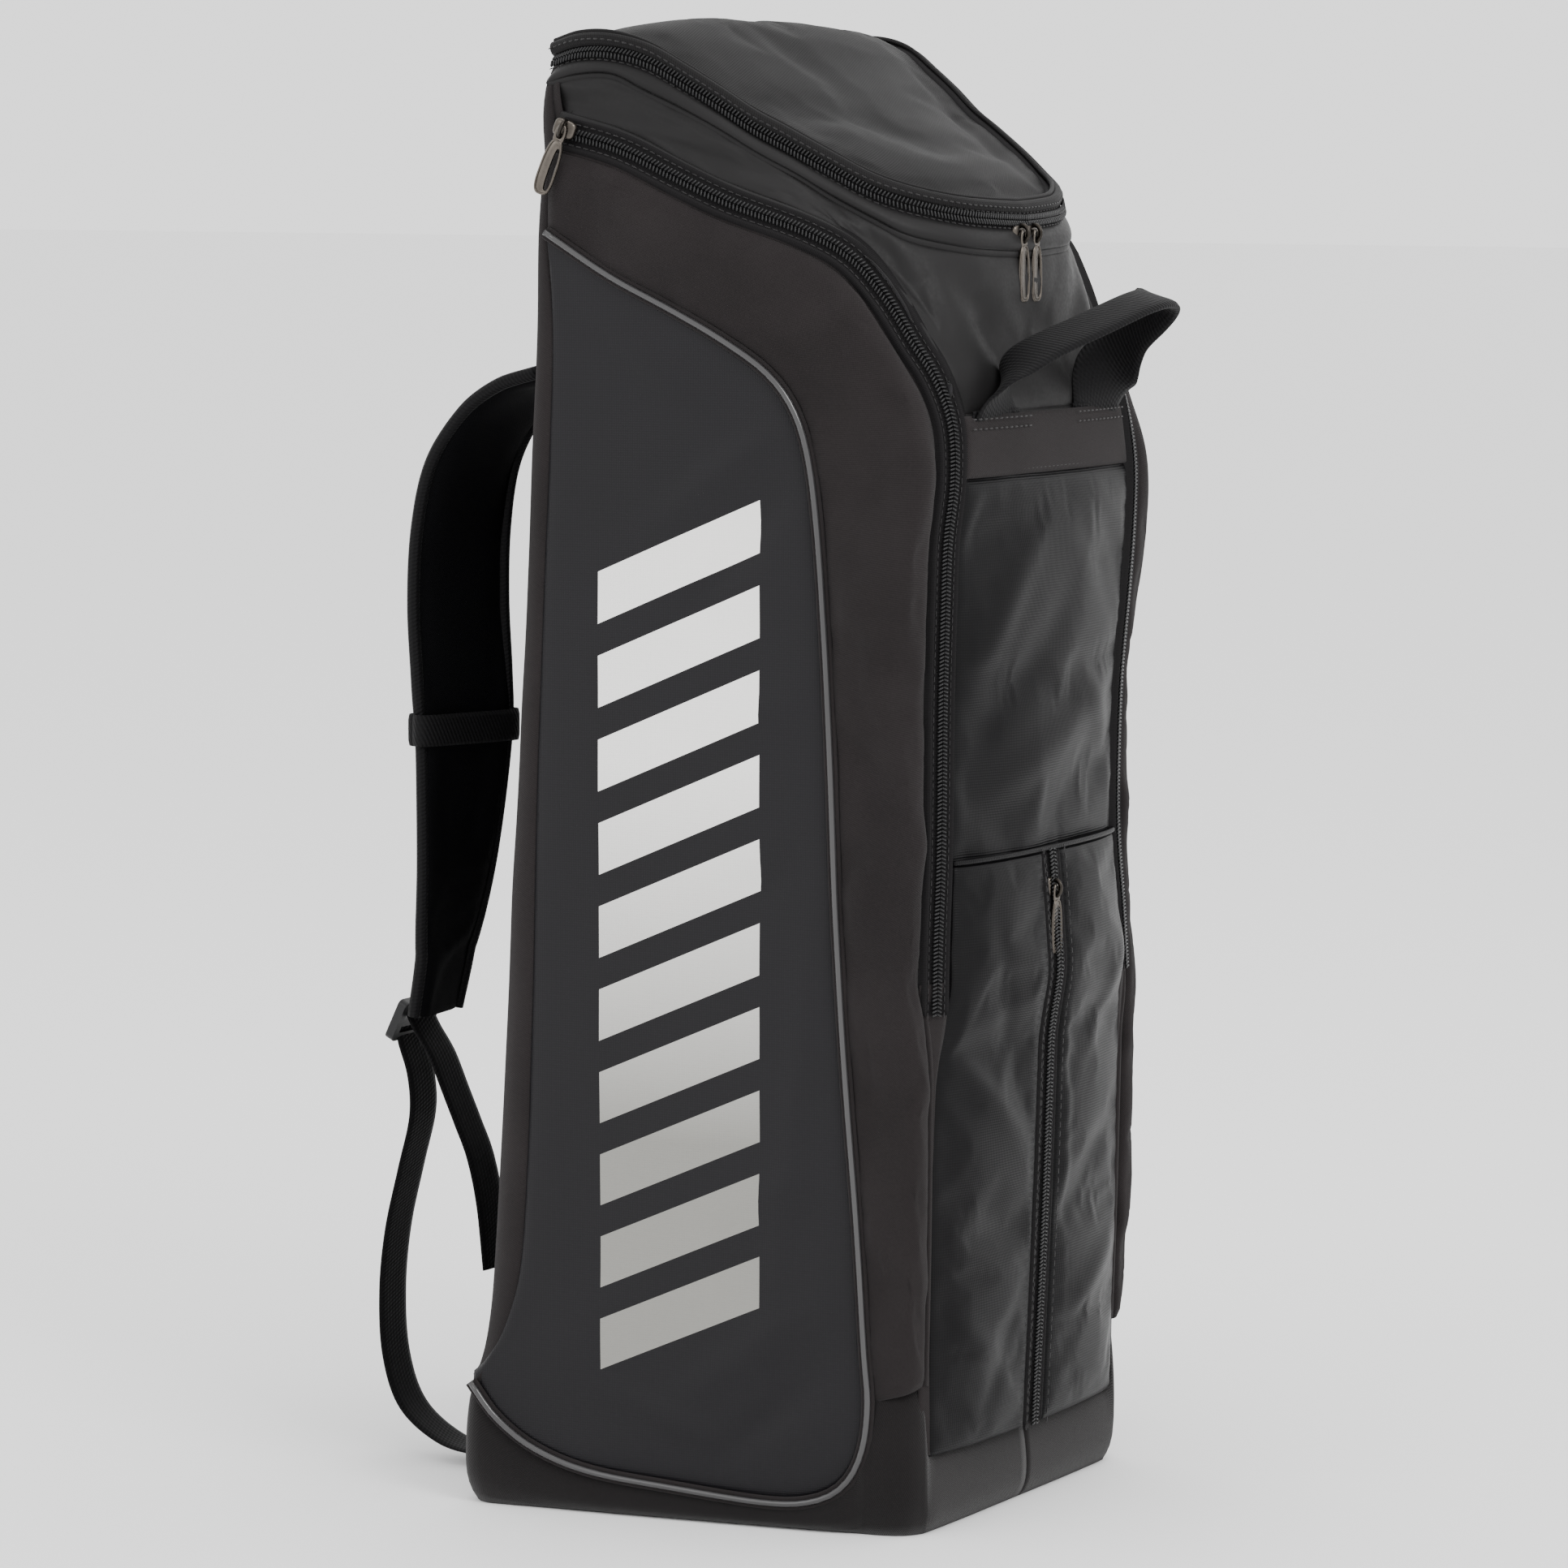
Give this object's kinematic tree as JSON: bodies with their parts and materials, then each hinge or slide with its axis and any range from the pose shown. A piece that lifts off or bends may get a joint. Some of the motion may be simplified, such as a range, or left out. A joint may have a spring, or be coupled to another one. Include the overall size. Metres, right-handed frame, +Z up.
{
  "type": "racket tournament bag",
  "caption": "Tall standing racket bag with a zipped slanted lid, folding side compartment covers, front zip pocket, haul handle and padded shoulder straps.",
  "frame": {"origin": "middle of the underside of the base", "axes": "+X to the right seen from the front, +Y to the back, +Z up"},
  "size_m": [0.333, 0.4178, 0.7705],
  "materials": {
    "canvas": "matte plain-weave polyester canvas",
    "ripstop": "ribbed satin ripstop",
    "side_fabric": "fine dobby grid",
    "lid_fabric": "fine smooth weave",
    "coated_fabric": "smooth coated, soft sheen",
    "back_fabric": "matte mesh",
    "lining": "plain lining",
    "board": "plain sheet",
    "piping": "glossy extruded cord",
    "zip_coil": "nylon coil",
    "zip_metal": "antique gunmetal plating",
    "webbing": "ribbed polyester webbing",
    "strap_pad": "foam pad in matte fabric and mesh",
    "buckle_plastic": "moulded acetal"
  },
  "bodies": {
    "bag": {"base_panel": "canvas", "base_board": "board", "front_panel": "ripstop", "handle_band": "canvas", "left_pocket_panel": "ripstop", "right_pocket_panel": "ripstop", "pocket_top_seam": "ripstop", "pocket_zip": "zip_coil", "left_side_panel": "side_fabric", "right_side_panel": "side_fabric", "left_gusset": "canvas", "right_gusset": "canvas", "left_rear_gusset": "canvas", "right_rear_gusset": "canvas", "back_panel": "back_fabric", "back_sheet": "board", "back_pad": "back_fabric", "left_divider": "lining", "right_divider": "lining", "collar": "coated_fabric", "lid_facing": "lid_fabric", "left_piping": "piping", "right_piping": "piping", "left_side_zip": "zip_coil", "right_side_zip": "zip_coil", "left_handle_foot": "webbing", "right_handle_foot": "webbing", "strap_yoke": "back_fabric", "left_strap_anchor": "back_fabric", "right_strap_anchor": "back_fabric"},
    "lid": {"lid_panel": "lid_fabric", "lid_rim": "lid_fabric"},
    "haul_handle": {"haul_handle": "webbing"},
    "pocket_slider": {"pocket_slider": "zip_metal"},
    "pocket_puller": {"pocket_puller": "zip_metal"},
    "left_flap": {"left_flap_panel": "side_fabric", "left_flap_gusset": "canvas", "left_flap_piping": "piping"},
    "left_strap": {"left_shoulder_pad": "strap_pad", "left_lower_webbing": "webbing", "left_webbing_tail": "webbing", "left_strap_keeper": "webbing"},
    "left_ladder_lock": {"left_ladder_lock": "buckle_plastic"},
    "left_lid_slider": {"left_lid_slider": "zip_metal"},
    "left_lid_puller": {"left_lid_puller": "zip_metal"},
    "left_side_slider": {"left_side_slider": "zip_metal"},
    "left_side_puller": {"left_side_puller": "zip_metal"},
    "right_flap": {"right_flap_panel": "side_fabric", "right_flap_gusset": "canvas", "right_flap_piping": "piping"},
    "right_strap": {"right_shoulder_pad": "strap_pad", "right_lower_webbing": "webbing", "right_webbing_tail": "webbing", "right_strap_keeper": "webbing"},
    "right_ladder_lock": {"right_ladder_lock": "buckle_plastic"},
    "right_lid_slider": {"right_lid_slider": "zip_metal"},
    "right_lid_puller": {"right_lid_puller": "zip_metal"},
    "right_side_slider": {"right_side_slider": "zip_metal"},
    "right_side_puller": {"right_side_puller": "zip_metal"}
  },
  "joints": [
    {"name": "lid_hinge", "type": "hinge", "parent": "bag", "child": "lid", "pos_m": [0, 0.079, 0.7532], "axis": [-1, 0, 0], "range_deg": [0, 110]},
    {"name": "haul_handle_hinge", "type": "hinge", "parent": "bag", "child": "haul_handle", "pos_m": [0, -0.14307, 0.584], "axis": [-1, 0, 0], "range_deg": [-80, 45]},
    {"name": "pocket_slider_slide", "type": "slide", "parent": "bag", "child": "pocket_slider", "axis": [0, 0, -1], "range_m": [0, 0.265]},
    {"name": "pocket_puller_hinge", "type": "hinge", "parent": "pocket_slider", "child": "pocket_puller", "pos_m": [0, -0.1382, 0.328], "axis": [-1, 0, 0], "range_deg": [0, 150]},
    {"name": "left_flap_hinge", "type": "hinge", "parent": "bag", "child": "left_flap", "pos_m": [-0.1481, 0.046, 0.7115], "axis": [0.0815, -0.3621, -0.9286], "range_deg": [0, 95]},
    {"name": "left_lid_slider_slide", "type": "slide", "parent": "bag", "child": "left_lid_slider", "axis": [-1, 0, 0], "range_m": [0, 0.038]},
    {"name": "left_lid_puller_hinge", "type": "hinge", "parent": "left_lid_slider", "child": "left_lid_puller", "pos_m": [-0.0065, -0.1205, 0.66875], "axis": [-1, 0, 0], "range_deg": [0, 150]},
    {"name": "left_side_slider_slide", "type": "slide", "parent": "bag", "child": "left_side_slider", "axis": [0.2039, -0.9136, -0.3517], "range_m": [0, 0.095]},
    {"name": "left_side_puller_hinge", "type": "hinge", "parent": "left_side_slider", "child": "left_side_puller", "pos_m": [-0.16245, 0.06185, 0.72264], "axis": [-0.2055, 0.9133, 0.3517], "range_deg": [0, 150]},
    {"name": "left_strap_swing", "type": "hinge", "parent": "bag", "child": "left_strap", "pos_m": [-0.088, 0.131, 0.01], "axis": [0, -0.0429, 0.9991], "range_deg": [-20, 20]},
    {"name": "left_ladder_lock_tilt", "type": "hinge", "parent": "left_strap", "child": "left_ladder_lock", "pos_m": [-0.088, 0.2064, 0.2522], "axis": [1, 0, 0], "range_deg": [-12, 12]},
    {"name": "right_flap_hinge", "type": "hinge", "parent": "bag", "child": "right_flap", "pos_m": [0.1481, 0.046, 0.7115], "axis": [0.0815, 0.3621, 0.9286], "range_deg": [0, 95]},
    {"name": "right_lid_slider_slide", "type": "slide", "parent": "bag", "child": "right_lid_slider", "axis": [1, 0, 0], "range_m": [0, 0.038]},
    {"name": "right_lid_puller_hinge", "type": "hinge", "parent": "right_lid_slider", "child": "right_lid_puller", "pos_m": [0.0065, -0.1205, 0.66875], "axis": [-1, 0, 0], "range_deg": [0, 150]},
    {"name": "right_side_slider_slide", "type": "slide", "parent": "bag", "child": "right_side_slider", "axis": [-0.2039, -0.9136, -0.3517], "range_m": [0, 0.095]},
    {"name": "right_side_puller_hinge", "type": "hinge", "parent": "right_side_slider", "child": "right_side_puller", "pos_m": [0.16245, 0.06185, 0.72264], "axis": [-0.2055, -0.9133, -0.3517], "range_deg": [0, 150]},
    {"name": "right_strap_swing", "type": "hinge", "parent": "bag", "child": "right_strap", "pos_m": [0.088, 0.131, 0.01], "axis": [0, 0.0429, -0.9991], "range_deg": [-20, 20]},
    {"name": "right_ladder_lock_tilt", "type": "hinge", "parent": "right_strap", "child": "right_ladder_lock", "pos_m": [0.088, 0.2064, 0.2522], "axis": [1, 0, 0], "range_deg": [-12, 12]}
  ]
}
